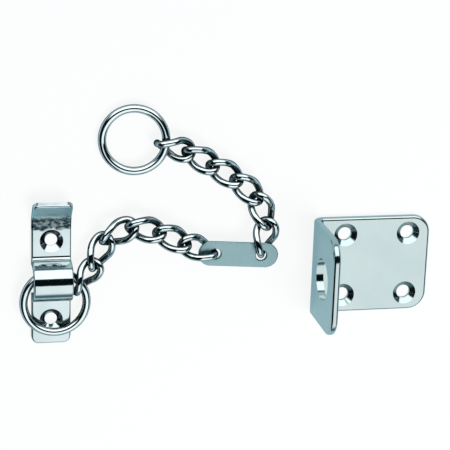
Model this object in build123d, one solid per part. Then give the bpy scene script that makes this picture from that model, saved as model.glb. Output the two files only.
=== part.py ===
import os
from math import asin, cos, degrees, radians, sin, sqrt, tan

from build123d import *

# Strap
strap_width = 15.8
strap_thickness = 2.2
strap_hole_spacing = 33.4
strap_end_margin = 10.0
strap_corner = 3.0
arch_inner = 6.0
arch_leg = 4.0
arch_y = 0.6
arch_foot_round = 1.6
lip_start = 5.2
lip_bend = 9.0
lip_angle = 42.0
lip_length = 6.6
lip_corner = 2.5

# Screw holes
strap_screw_hole = 5.0
strap_screw_head = 9.4
plate_screw_hole = 5.7
plate_screw_head = 9.8
sink_angle = 100.0

# Bracket
plate_width = 50.2
plate_height = 41.0
plate_thickness = 3.0
plate_corner = 7.5
flange_depth = 36.0
flange_corner = 9.0
bend_inner = 1.5
flange_hole = 17.2
flange_hole_height = 19.6
column_spacing = 26.8
row_spacing = 26.2
hole_inset = 14.0
bracket_x = 107.2
bracket_y = 2.2

# Rings
ring_outer = 28.6
ring_wire = 3.3
ring_x = 1.2
ring_hook_heading = 34.0

# Links
link_length = 17.6
link_width = 10.8
link_wire = 2.8
bow_angle = 60.0
strand_angle = 40.0
height_step = 0.58

# Tag
tag_length = 33.0
tag_width = 10.2
tag_thickness = 1.6
tag_hole = 4.4
tag_hole_edge = 7.0
tag_heading = -4.0

# Room between pieces
link_gap = 0.4
ring_hook_gap = 0.7
free_ring_gap = 0.5
tag_hook_room = 0.6
foot_gap = 1.2
arch_gap = 0.26
rest_gap = 0.05

# Rounding
strap_round = 0.75
plate_round = 1.2
tag_round = 0.4

# How near two positions count as the same
same_place = 0.01

# Headings and rolls of the links in degrees, from the strap to the tag
lower_run = [(57, 33), (68, 10), (28, 5), (-13, 0), (-27, -8), (-20, -28)]

# Headings and rolls from the tag to the free ring
upper_run = [(80, 17), (112, 6), (138, 0), (149, 0), (150, -10), (164, -30)]
free_ring_heading = 170.0

# Lengths that follow from the sizes above
ring_radius = (ring_outer - ring_wire) / 2
reach = (link_length - link_wire) / 2
side = (link_width - link_wire) / 2
arch_outer = arch_inner + strap_thickness
tag_hole_x = tag_length / 2 - tag_hole_edge
tag_hook = tag_hole / 2 - link_wire / 2 - tag_hook_room
ring_hook = (ring_wire + link_wire) / 2


def heading_vector(angle):
    return Vector(cos(radians(angle)), sin(radians(angle)), 0)


# Screw hole with its countersink, opening upward at the height given
def screw_cutter(x, y, top, hole, head):
    sink_depth = (head - hole) / 2 / tan(radians(sink_angle / 2))
    shaft = Pos(x, y, top / 2) * Cylinder(hole / 2, 2 * top)
    sink = Pos(x, y, top - sink_depth / 2) * Cone(hole / 2, head / 2, sink_depth)
    return shaft + sink


# Half round on short upright legs
def arch_shape(radius):
    legs = Pos(0, arch_leg / 2) * Rectangle(2 * radius, arch_leg)
    cap = Pos(0, arch_leg) * Circle(radius)
    below = Pos(0, -radius) * Rectangle(4 * radius, 2 * radius)
    return Pos(arch_y, 0) * (legs + cap - below)


# Strap bent from one sheet: lower foot, arch, upper flat and raised lip
def make_strap():
    low = -strap_hole_spacing / 2 - strap_end_margin
    high = strap_hole_spacing / 2 + lip_start
    flat = Pos((low + high) / 2, strap_thickness / 2) * Rectangle(high - low, strap_thickness)
    hoop = arch_shape(arch_outer)
    tunnel = arch_shape(arch_inner)
    profile = flat + hoop - tunnel
    over_flat = [v for v in profile.vertices() if v.Y > strap_thickness / 2 and low < v.X < high]
    meet = [v for v in over_flat if abs(abs(v.X - arch_y) - arch_outer) < same_place and v.Y < arch_leg]
    profile = fillet(meet, arch_foot_round)
    strap = extrude(Plane.YZ * profile, strap_width / 2, both=True)

    bend_mid = lip_bend + strap_thickness / 2
    start = Vector(0, high, strap_thickness / 2)
    turn = radians(lip_angle)
    bend_end = start + Vector(0, bend_mid * sin(turn), bend_mid * (1 - cos(turn)))
    tip = bend_end + Vector(0, cos(turn), sin(turn)) * lip_length
    curve = TangentArc(start, bend_end, tangent=(0, 1, 0))
    path = curve + Line(bend_end, tip)
    section = Plane(start, x_dir=(1, 0, 0), z_dir=(0, 1, 0)) * Rectangle(strap_width, strap_thickness)
    strap += sweep(section, path=path)

    ends = strap.edges().filter_by(Axis.Z)
    foot_corners = [e for e in ends if e.center().Y < low + strap_round]
    strap = fillet(foot_corners, strap_corner)
    across = Vector(0, -sin(turn), cos(turn))
    lip_corners = [e for e in strap.edges() if e.center().Y > tip.Y - strap_thickness
                   and abs(abs((e @ 1 - e @ 0).dot(across)) - strap_thickness) < same_place]
    strap = fillet(lip_corners, lip_corner)
    strap = fillet(strap.edges().filter_by(Axis.X).sort_by(Axis.Y)[:2].sort_by(Axis.Z)[-1], strap_round)
    for y in (-strap_hole_spacing / 2, strap_hole_spacing / 2):
        strap -= screw_cutter(0, y, strap_thickness, strap_screw_hole, strap_screw_head)
    return strap


# Angle bracket: screw plate with a flange folded up along its near edge
def make_bracket():
    bend_outer = bend_inner + plate_thickness
    plate = Pos(plate_width / 2, plate_thickness / 2) * Rectangle(plate_width, plate_thickness)
    flange = Pos(plate_thickness / 2, flange_depth / 2) * Rectangle(plate_thickness, flange_depth)
    profile = plate + flange
    fold = Vector(plate_thickness, plate_thickness)
    inner = [v for v in profile.vertices() if (Vector(v) - fold).length < same_place]
    profile = fillet(inner, bend_inner)
    outer = [v for v in profile.vertices() if Vector(v).length < same_place]
    profile = fillet(outer, bend_outer)
    bracket = extrude(Plane.XZ * profile, plate_height / 2, both=True)
    plate_ends = [e for e in bracket.edges().filter_by(Axis.Z) if e.center().X > plate_width - same_place]
    bracket = fillet(plate_ends, plate_corner)
    flange_ends = [e for e in bracket.edges().filter_by(Axis.X) if e.center().Z > flange_depth - same_place]
    bracket = fillet(flange_ends, flange_corner)
    bracket = fillet(bracket.edges().filter_by(Axis.Y).sort_by(Axis.X)[-2:], plate_round)
    for x in (hole_inset, hole_inset + column_spacing):
        for y in (-row_spacing / 2, row_spacing / 2):
            bracket -= screw_cutter(x, y, plate_thickness, plate_screw_hole, plate_screw_head)
    through = Pos(plate_thickness / 2, 0, flange_hole_height) * Rot(Y=90)
    bracket -= through * Cylinder(flange_hole / 2, 2 * plate_thickness)
    return Pos(bracket_x, bracket_y, 0) * bracket


# Quarter of a link's wire: two arcs from the end of the link to the middle of its side
def link_quarter():
    p0 = Vector(reach, 0, 0)
    p1 = Vector(0, side, 0)
    t0 = Vector(0, cos(radians(bow_angle)), -sin(radians(bow_angle)))
    t1 = Vector(-cos(radians(strand_angle)), 0, sin(radians(strand_angle)))
    span = p1 - p0
    along = span.dot(t0 + t1)
    spread = 1 - t0.dot(t1)
    arm = (sqrt(along ** 2 + 2 * spread * span.dot(span)) - along) / (2 * spread)
    q0 = p0 + t0 * arm
    q1 = p1 - t1 * arm
    joint = (q0 + q1) * 0.5
    return [(p0, t0, joint), (joint, (q1 - q0).normalized(), p1)]


# Tube along one arc, given its start, its direction there and its end
def arc_tube(start, direction, end):
    chord = end - start
    normal = direction.cross(chord).normalized()
    inward = normal.cross(direction)
    half = asin(chord.dot(inward) / chord.length)
    radius = chord.length / (2 * sin(half))
    disc = Plane(start, z_dir=direction) * Circle(link_wire / 2)
    return revolve(disc, Axis(start + inward * radius, normal), 2 * degrees(half))


# Twisted link: one quarter turned about each of the three axes
def make_link():
    quarter = [arc_tube(*arc) for arc in link_quarter()]
    link = None
    for turn in (Rot(), Rot(X=180), Rot(Y=180), Rot(Z=180)):
        for tube in quarter:
            piece = turn * tube
            link = piece if link is None else link + piece
    return link


def make_tag():
    plate = extrude(SlotOverall(tag_length, tag_width), tag_thickness / 2, both=True)
    for x in (-tag_hole_x, tag_hole_x):
        plate -= Pos(x, 0, 0) * Cylinder(tag_hole / 2, 2 * tag_thickness)
    return fillet(plate.edges().filter_by(Plane.XY), tag_round)


# Ring raised on the side of the heading given
def place_ring(centre, heading, tilt):
    ring = Torus(ring_radius, ring_wire / 2)
    return Pos(centre) * Rot(Z=heading) * Rot(Y=-tilt) * ring


def place_link(link, centre, heading, roll):
    return Pos(centre) * Rot(Z=heading) * Rot(X=roll) * link


# Run of links, each hung on the one before; the first starts with its end where given
def lay_run(link, start, run):
    laid = []
    pivots = []
    half = (link_wire + link_gap) / 2
    before = None
    for heading, roll in run:
        ahead = heading_vector(heading)
        if before is None:
            pivot = start
            centre = start + ahead * reach
        else:
            pivot = end - heading_vector(before) * half
            drop = height_step * link_wire * sin(radians(heading - before))
            centre = pivot + ahead * (reach - half) - Vector(0, 0, drop)
        laid.append(place_link(link, centre, heading, roll))
        pivots.append(pivot)
        end = centre + ahead * reach
        before = heading
    return laid, pivots, end


parts = {}
parts["frame_strap"] = make_strap()
parts["angle_bracket"] = make_bracket()

# Strap ring: lies over the foot and passes under the arch
ring_z = strap_thickness + foot_gap + ring_wire / 2
arch_room = arch_inner - arch_gap - ring_wire / 2
arch_wire_y = sqrt(arch_room ** 2 - (ring_z - arch_leg) ** 2)
ring_centre = Vector(ring_x, arch_y + arch_wire_y - ring_radius, ring_z)
parts["strap_ring"] = place_ring(ring_centre, 0, 0)

# Lower run, from the strap ring's wire to the tag
link = make_link()
hook = ring_centre + heading_vector(ring_hook_heading) * ring_radius
first = hook - heading_vector(lower_run[0][0]) * (ring_hook + ring_hook_gap)
lower, lower_pivots, lower_end = lay_run(link, first, lower_run)
lower_pivots[0] = hook

# Tag hung on the last link of the lower run
tag_centre = lower_end + heading_vector(tag_heading) * (tag_hook + tag_hole_x)
parts["tag_plate"] = Pos(tag_centre) * Rot(Z=tag_heading) * make_tag()

# Upper run, from the tag's far hole to the free ring
far_hole = tag_centre + heading_vector(tag_heading) * tag_hole_x
upper_start = far_hole + heading_vector(upper_run[0][0]) * tag_hook
upper, upper_pivots, upper_end = lay_run(link, upper_start, upper_run)

for number, piece in enumerate(lower + upper, 1):
    parts[f"link_{number:02d}"] = piece

# Free ring: its wire in the last link, its far side on the ground
free_wire = upper_end - heading_vector(upper_run[-1][0]) * (ring_hook + free_ring_gap)
free_tilt = degrees(asin((free_wire.Z - ring_wire / 2 - rest_gap) / (2 * ring_radius)))
free_centre = free_wire + heading_vector(free_ring_heading) * ring_radius * cos(radians(free_tilt))
free_centre = free_centre - Vector(0, 0, ring_radius * sin(radians(free_tilt)))
parts["free_ring"] = place_ring(free_centre, free_ring_heading + 180, free_tilt)

os.makedirs("parts", exist_ok=True)
for name, shape in parts.items():
    shape.label = name
    export_step(shape, f"parts/{name}.step")
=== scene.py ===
import math

import bpy
from mathutils import Matrix, Vector

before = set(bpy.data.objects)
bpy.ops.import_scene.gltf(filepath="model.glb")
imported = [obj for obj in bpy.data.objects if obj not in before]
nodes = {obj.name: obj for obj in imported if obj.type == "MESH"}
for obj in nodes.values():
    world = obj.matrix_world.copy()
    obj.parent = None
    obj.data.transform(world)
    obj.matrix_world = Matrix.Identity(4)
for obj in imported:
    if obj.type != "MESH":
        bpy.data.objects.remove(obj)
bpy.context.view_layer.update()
scene = bpy.context.scene
scene.view_settings.view_transform = "Standard"
print("frame loaded with", len(nodes), "pieces")


class Flow:
    # a socket that can be used in plain sums, and the maker of every other node
    def __init__(self, tree, socket=None):
        self.tree = tree
        self.socket = socket

    def node(self, kind, settings=None, sockets=None, out=0):
        made = self.tree.nodes.new(kind)
        for key, value in (settings or {}).items():
            setattr(made, key, value)
        for key, value in (sockets or {}).items():
            entry = made.inputs[key]
            if isinstance(value, Flow):
                self.tree.links.new(value.socket, entry)
            elif entry.type == "RGBA":
                entry.default_value = (*value, 1)       # colours are given as three numbers
            else:
                entry.default_value = value
        return Flow(self.tree, made.outputs[out] if made.outputs else None)

    def sums(self, operation, first, second=0.0):
        return self.node("ShaderNodeMath", {"operation": operation}, {0: first, 1: second})

    def __add__(self, other):
        return self.sums("ADD", self, other)

    def __radd__(self, other):
        return self.sums("ADD", other, self)

    def __sub__(self, other):
        return self.sums("SUBTRACT", self, other)

    def __rsub__(self, other):
        return self.sums("SUBTRACT", other, self)

    def __mul__(self, other):
        return self.sums("MULTIPLY", self, other)

    def __rmul__(self, other):
        return self.sums("MULTIPLY", other, self)

    # 0 below low, 1 above high, smooth between
    def step(self, low, high):
        return self.node("ShaderNodeMapRange", {"interpolation_type": "SMOOTHSTEP"},
                         {"Value": self, "From Min": low, "From Max": high})

    # up over the first pair of limits and down again over the second
    def band(self, rise, fall):
        return self.step(*rise) * (1 - self.step(*fall))

    # the first colour at 0, the second at 1
    def mixColour(self, first, second):
        return self.node("ShaderNodeMix", {"data_type": "RGBA"}, {0: self, 6: first, 7: second}, 2)

    # one number of a vector
    def axis(self, letter):
        return self.node("ShaderNodeSeparateXYZ", None, {0: self}, letter)

    # noise over a place, or over a stretched place with the scale left at 1
    def noise(self, scale=1.0, detail=2.0, grain=0.5):
        return self.node("ShaderNodeTexNoise", None,
                         {"Vector": self, "Scale": scale, "Detail": detail, "Roughness": grain})

    def stretch(self, scale):
        return self.node("ShaderNodeMapping", None, {"Vector": self, "Scale": scale})


def newFinish(name):
    finish = bpy.data.materials.new(name)
    finish.use_nodes = True
    finish.node_tree.nodes.clear()
    return finish, Flow(finish.node_tree)


# what every plated piece shares; in all looks, scales count per metre and reaches are in metres
polish = {
    "lineDetail": 5.0, "lineGrain": 0.6, "smearDetail": 3.0, "waveDetail": 1.0, "noiseMiddle": 0.5,
    "toneRange": (0.3, 0.7), "pitRange": (0.04, 0.10), "pitHeight": 0.002, "pitRough": 0.05,
    # the added roughness and the sample count serve the painted corner shade
    "paintedShadeRough": 0.3, "cornerSamples": 8, "bumpDepth": 0.001,
}


# bright plating: polish smears, fine buffing lines, a soft waviness and small pits, with painted shade in
# tight corners and, where a look asks for it, on the lower flanks
def platingFinish(name, look):
    finish, flow = newFinish(name)
    place = flow.node("ShaderNodeTexCoord", out="Object")
    facing = flow.node("ShaderNodeNewGeometry", out="Normal")
    lines = place.stretch(look["buffing"]).noise(detail=polish["lineDetail"], grain=polish["lineGrain"])
    smear = place.noise(look["smearScale"], polish["smearDetail"])
    wave = place.noise(look["waveScale"], polish["waveDetail"])
    speck = flow.node("ShaderNodeTexVoronoi", None, {"Vector": place, "Scale": look["speckScale"]})
    corner = flow.node("ShaderNodeAmbientOcclusion", {"samples": polish["cornerSamples"]},
                       {"Distance": look["cornerReach"]}, "AO")

    tone = smear.step(*polish["toneRange"])
    pits = 1 - speck.step(*polish["pitRange"])
    # painted shade: ambient occlusion darkens the colour towards the dark shade colour in tight corners,
    # between parts and near the floor
    paintedShade = (1 - corner.step(*look["cornerShade"])) * look["paintedShade"]
    if "flank" in look:
        # painted shade: darker on the lower flanks and bright on top, by which way the surface faces
        paintedFlankShade = (1 - facing.axis("Z").step(*look["flank"])) * look["flankDepth"]
        paintedShade = 1 - (1 - paintedShade) * (1 - paintedFlankShade)
    colour = paintedShade.mixColour(tone.mixColour(look["deep"], look["pale"]), look["paintedShadeColour"])
    rough = look["rough"] + tone * look["smearRough"] + (lines - polish["noiseMiddle"]) * look["lineRough"]
    rough = rough + paintedShade * polish["paintedShadeRough"] + pits * polish["pitRough"]
    height = wave * look["waveHeight"] + lines * look["lineHeight"] - pits * polish["pitHeight"]
    if "bend" in look:
        colour, rough, height = bendSkinAndPaintedReflection(look["bend"], place, facing, colour, rough, height)
    bump = flow.node("ShaderNodeBump", None,
                     {"Strength": 1.0, "Distance": polish["bumpDepth"], "Height": height})
    body = flow.node("ShaderNodeBsdfPrincipled", None,
                     {"Base Color": colour, "Metallic": 1.0, "Roughness": rough, "Normal": bump,
                      "Specular Tint": look["rim"]})
    flow.node("ShaderNodeOutputMaterial", None, {"Surface": body})
    return finish


# the stretched skin of a bend: dull and bumped in mottled patches across the strip, with a painted dark
# reflection mottled over it, and a satin face on the lip beyond, painted with a pale teal reflection
def bendSkinAndPaintedReflection(bend, place, facing, colour, rough, height):
    patchy = place.stretch(bend["patches"]).noise(detail=bend["patchDetail"], grain=bend["patchGrain"])
    north = place.axis("Y") + (patchy - polish["noiseMiddle"]) * bend["ragged"]
    zone = north.band(bend["low"], bend["high"])
    dull = zone * (bend["least"] + (1 - bend["least"]) * patchy.step(*bend["patchRange"]))
    # painted reflection: the bend's colour darkens towards near-black teal in mottled patches
    colour = (dull * bend["depth"]).mixColour(colour, bend["colour"])
    satin = north.step(*bend["high"]) * (1 - facing.axis("Y").step(*bend["satinTilt"]))
    # painted reflection: the lip's upward face is tinted pale teal
    colour = (satin * bend["paintedLipReflectionDepth"]).mixColour(colour, bend["paintedLipReflectionColour"])
    rough = rough + dull * bend["rough"] + satin * bend["satinRough"]
    height = height + patchy * zone * bend["height"]
    return colour, rough, height


def dress(node, finish):
    piece = nodes[node]
    piece.data.materials.clear()
    piece.data.materials.append(finish)


# pressed strap, polished along its length
strapLook = {
    "rim": (0.35, 0.45, 0.48), "pale": (0.72, 0.75, 0.745), "deep": (0.63, 0.68, 0.68),
    # the next two lines set painted shade: darkening in corners found by occlusion, and on the lower flanks
    "paintedShadeColour": (0.10, 0.12, 0.125), "paintedShade": 0.5, "cornerReach": 0.004, "cornerShade": (0.10, 0.65),
    "flank": (-0.05, 0.22), "flankDepth": 0.8,
    "buffing": (2600, 160, 2600), "smearScale": 90, "waveScale": 160, "speckScale": 1500,
    "rough": 0.055, "smearRough": 0.05, "lineRough": 0.05, "waveHeight": 0.05, "lineHeight": 0.0025,
    # the bend's colours are painted reflections: a near-black teal band across the bend and a pale teal face
    # on the lip
    "bend": {
        "low": (0.0208, 0.0224), "high": (0.0260, 0.0276), "ragged": 0.004,     # metres north
        "patches": (420, 760, 760), "patchDetail": 3.0, "patchGrain": 0.6, "patchRange": (0.42, 0.56),
        "least": 0.68, "depth": 0.985, "colour": (0.008, 0.034, 0.044), "rough": 0.16, "height": 0.10,
        "paintedLipReflectionColour": (0.57, 0.82, 0.88), "paintedLipReflectionDepth": 0.85, "satinRough": 0.3, "satinTilt": (-0.3, 0.1),
    },
}
dress("frame_strap", platingFinish("strapPlating", strapLook))
print("strap dressed")

# folded bracket, a softer sheen
bracketLook = {
    "rim": (0.90, 0.95, 0.96), "pale": (0.62, 0.668, 0.655), "deep": (0.572, 0.627, 0.616),
    # painted shade in corners found by occlusion
    "paintedShadeColour": (0.10, 0.12, 0.125), "paintedShade": 0.5, "cornerReach": 0.002, "cornerShade": (0.05, 0.6),
    "buffing": (140, 2400, 2400), "smearScale": 70, "waveScale": 120, "speckScale": 1400,
    "rough": 0.09, "smearRough": 0.05, "lineRough": 0.05, "waveHeight": 0.03, "lineHeight": 0.002,
}
dress("angle_bracket", platingFinish("bracketPlating", bracketLook))
print("bracket dressed")

# ring wire
ringLook = {
    "rim": (0.10, 0.17, 0.19), "pale": (0.88, 0.90, 0.89), "deep": (0.76, 0.80, 0.80),
    # the next two lines set painted shade: darkening in corners and near the floor found by occlusion, and on
    # the lower flanks
    "paintedShadeColour": (0.02, 0.04, 0.045), "paintedShade": 0.6, "cornerReach": 0.007, "cornerShade": (0.30, 0.85),
    "flank": (0.10, 0.60), "flankDepth": 0.75,
    "buffing": (900, 900, 900), "smearScale": 110, "waveScale": 200, "speckScale": 1700,
    "rough": 0.045, "smearRough": 0.04, "lineRough": 0.04, "waveHeight": 0.03, "lineHeight": 0.002,
}
ringFinish = platingFinish("ringPlating", ringLook)
for name in ("strap_ring", "free_ring"):
    dress(name, ringFinish)
print("rings dressed")

# chain wire, with stronger painted shade than the rings where links crowd and on the lower flanks
linkLook = {
    "rim": (0.10, 0.17, 0.19), "pale": (0.88, 0.90, 0.89), "deep": (0.70, 0.76, 0.77),
    # the next two lines set painted shade: darkening in corners and near the floor found by occlusion, and on
    # the lower flanks
    "paintedShadeColour": (0.02, 0.04, 0.045), "paintedShade": 0.9, "cornerReach": 0.008, "cornerShade": (0.30, 0.90),
    "flank": (0.20, 0.70), "flankDepth": 0.88,
    "buffing": (1100, 1100, 1100), "smearScale": 130, "waveScale": 260, "speckScale": 1800,
    "rough": 0.05, "smearRough": 0.05, "lineRough": 0.04, "waveHeight": 0.04, "lineHeight": 0.0025,
}
linkFinish = platingFinish("linkPlating", linkLook)
for name in nodes:
    if name.startswith("link_"):
        dress(name, linkFinish)
print("links dressed")

# flat tag, satin
tagLook = {
    "rim": (0.40, 0.50, 0.52), "pale": (0.47, 0.65, 0.67), "deep": (0.39, 0.565, 0.588),
    # painted shade in corners found by occlusion
    "paintedShadeColour": (0.07, 0.09, 0.095), "paintedShade": 0.5, "cornerReach": 0.002, "cornerShade": (0.05, 0.6),
    "buffing": (200, 2600, 2600), "smearScale": 90, "waveScale": 150, "speckScale": 1600,
    "rough": 0.38, "smearRough": 0.06, "lineRough": 0.06, "waveHeight": 0.03, "lineHeight": 0.002,
}
dress("tag_plate", platingFinish("tagPlating", tagLook))
print("tag dressed")

# pale floor: near white to the eye, dimmer where the plating mirrors it
floorLook = {
    "half": 2.5, "centre": (0.08, 0.02), "below": 0.00005,      # metres
    "colour": (0.86, 0.88, 0.88), "grainScale": 900, "grainRange": (0.2, 0.8), "grainDim": 0.985,
    "white": (1, 1, 1), "seenWhite": 0.88, "shade": (0.36, 0.57, 0.64), "shaded": 0.8,
}


def layFloor(look):
    half = look["half"]
    mesh = bpy.data.meshes.new("floorSheet")
    corners = [(-half, -half, 0), (half, -half, 0), (half, half, 0), (-half, half, 0)]
    mesh.from_pydata(corners, [], [(0, 1, 2, 3)])
    sheet = bpy.data.objects.new("floorSheet", mesh)
    scene.collection.objects.link(sheet)
    sheet.location = (*look["centre"], -look["below"])
    finish, flow = newFinish("floorPaper")
    grain = flow.node("ShaderNodeTexCoord", out="Object").noise(look["grainScale"])
    dimmed = [part * look["grainDim"] for part in look["colour"]]
    colour = grain.step(*look["grainRange"]).mixColour(dimmed, look["colour"])
    paper = flow.node("ShaderNodeBsdfPrincipled", None,
                      {"Base Color": colour, "Roughness": 1.0, "Specular IOR Level": 0.0})
    glow = flow.node("ShaderNodeEmission", None, {"Color": look["white"], "Strength": 1.0})
    shade = flow.node("ShaderNodeEmission", None, {"Color": look["shade"], "Strength": 1.0})
    seen = flow.node("ShaderNodeLightPath", out="Is Camera Ray")
    mirrored = flow.node("ShaderNodeLightPath", out="Is Glossy Ray")
    pale = flow.node("ShaderNodeMixShader", None, {0: seen * look["seenWhite"], 1: paper, 2: glow})
    both = flow.node("ShaderNodeMixShader", None, {0: mirrored * look["shaded"], 1: pale, 2: shade})
    flow.node("ShaderNodeOutputMaterial", None, {"Surface": both})
    mesh.materials.append(finish)


layFloor(floorLook)
print("floor laid")

# studio that the plating mirrors: a wide soft box overhead to the south, a brighter one to the north, a dim
# horizon and a dark room. From and to are degrees from overhead, north positive; the rest are shares of a
# direction's length, east and up positive
studioLook = {
    "boxes": (0.88, 0.975, 1.0), "room": (0.35, 0.78, 0.95), "dark": 0.006, "paleFrom": 0.9, "fill": 0.55,
    "overheadLevel": 1.15, "overheadFrom": (-80, -54), "overheadTo": (-12, -8),
    "overheadWest": (-0.36, -0.22), "overheadEast": (0.56, 0.76),
    "northLevel": 1.6, "northFrom": (27, 31), "northTo": (76, 84), "northSides": (0.66, 0.80),
    "horizonLevel": 0.2, "horizonTop": (0.18, 0.32), "horizonWest": (-0.8, -0.4), "westShare": 0.4,
}


def hangStudio(look):
    world = bpy.data.worlds.new("studio")
    scene.world = world
    world.use_nodes = True
    world.node_tree.nodes.clear()
    flow = Flow(world.node_tree)
    direction = flow.node("ShaderNodeTexCoord", out="Generated")
    east, north, high = (direction.axis(letter) for letter in "XYZ")
    lean = flow.sums("ARCTAN2", north, high) * math.degrees(1)
    aside = flow.sums("ABSOLUTE", east)
    overhead = (lean.band(look["overheadFrom"], look["overheadTo"])
                * east.band(look["overheadWest"], look["overheadEast"]))
    northBox = lean.band(look["northFrom"], look["northTo"]) * (1 - aside.step(*look["northSides"]))
    westDim = look["westShare"] + (1 - look["westShare"]) * east.step(*look["horizonWest"])
    horizon = (1 - high.step(*look["horizonTop"])) * westDim
    level = (overhead * look["overheadLevel"] + northBox * look["northLevel"]
             + horizon * look["horizonLevel"] + look["dark"])
    mirrored = flow.node("ShaderNodeLightPath", out="Is Glossy Ray")
    seen = flow.node("ShaderNodeLightPath", out="Is Camera Ray")
    strength = level * mirrored + seen + look["fill"] * (1 - mirrored) * (1 - seen)     # white to the eye
    tint = strength.step(0.0, look["paleFrom"]).mixColour(look["room"], look["boxes"])
    glow = flow.node("ShaderNodeBackground", None, {"Color": tint, "Strength": strength})
    flow.node("ShaderNodeOutputWorld", None, {"Surface": glow})


hangStudio(studioLook)
print("studio hung")

# soft lamp for the floor shadow
lampLook = {"place": (0.30, -0.25, 0.80), "aim": (0.075, 0.02, 0.0), "size": 0.6, "power": 6.0}


def hangLamp(look):
    lamp = bpy.data.lights.new("softLamp", "AREA")
    lamp.shape = "DISK"
    lamp.size = look["size"]
    lamp.energy = look["power"]
    holder = bpy.data.objects.new("softLamp", lamp)
    holder.location = look["place"]
    toward = Vector(look["aim"]) - Vector(look["place"])
    holder.rotation_euler = toward.to_track_quat("-Z", "Y").to_euler()
    holder.visible_glossy = False       # the plating mirrors the studio alone
    scene.collection.objects.link(holder)


hangLamp(lampLook)
print("lamp hung")

# camera at the photo's viewing angle: above, from the upper left
cameraLook = {
    "place": (-0.07507, 0.22837, 0.65372), "aim": (0.07081, 0.02035, 0.0), "pageUp": (0, 1, 0), "roll": 1.945,
    "lens": 138.16, "sensor": 36.0, "nearest": 0.01, "farthest": 20,
}


def setCamera(look):
    camera = bpy.data.cameras.new("photoCamera")
    camera.lens = look["lens"]
    camera.sensor_width = look["sensor"]
    camera.clip_start = look["nearest"]
    camera.clip_end = look["farthest"]
    holder = bpy.data.objects.new("photoCamera", camera)
    back = (Vector(look["place"]) - Vector(look["aim"])).normalized()
    right = Vector(look["pageUp"]).cross(back).normalized()
    up = back.cross(right)
    roll = math.radians(look["roll"])
    turnedRight = right * math.cos(roll) + up * math.sin(roll)
    turnedUp = up * math.cos(roll) - right * math.sin(roll)
    turn = Matrix((turnedRight, turnedUp, back)).transposed().to_4x4()
    holder.matrix_world = Matrix.Translation(look["place"]) @ turn
    scene.collection.objects.link(holder)
    scene.camera = holder


setCamera(cameraLook)
print("camera set")
